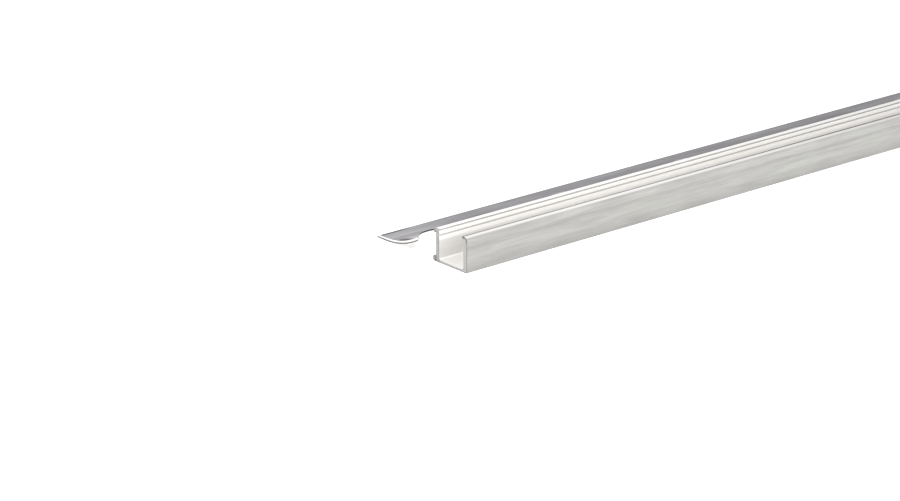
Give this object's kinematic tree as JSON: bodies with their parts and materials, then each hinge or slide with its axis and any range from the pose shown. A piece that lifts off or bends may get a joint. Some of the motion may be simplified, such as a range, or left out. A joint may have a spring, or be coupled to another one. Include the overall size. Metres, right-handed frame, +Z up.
{
  "type": "aluminium extrusion profile",
  "caption": "Long extruded aluminium bar: a small square channel with a lip and inner grooves, a bead behind it, and a thin perforated wing sloping down and bending out flat on the floor.",
  "frame": {"origin": "centre of the bar's length and overall width, on the floor it lies on", "axes": "+X along the bar from the sawn end the first perforation is nearest to, +Y from the channel's face towards the wing, +Z up out of the channel"},
  "size_m": [2.5, 0.0398, 0.0105],
  "materials": {
    "mill_aluminium": "mill-finished bare aluminium with fine lines along the length, satin"
  },
  "bodies": {
    "root": {"profile": "mill_aluminium"}
  },
  "joints": []
}
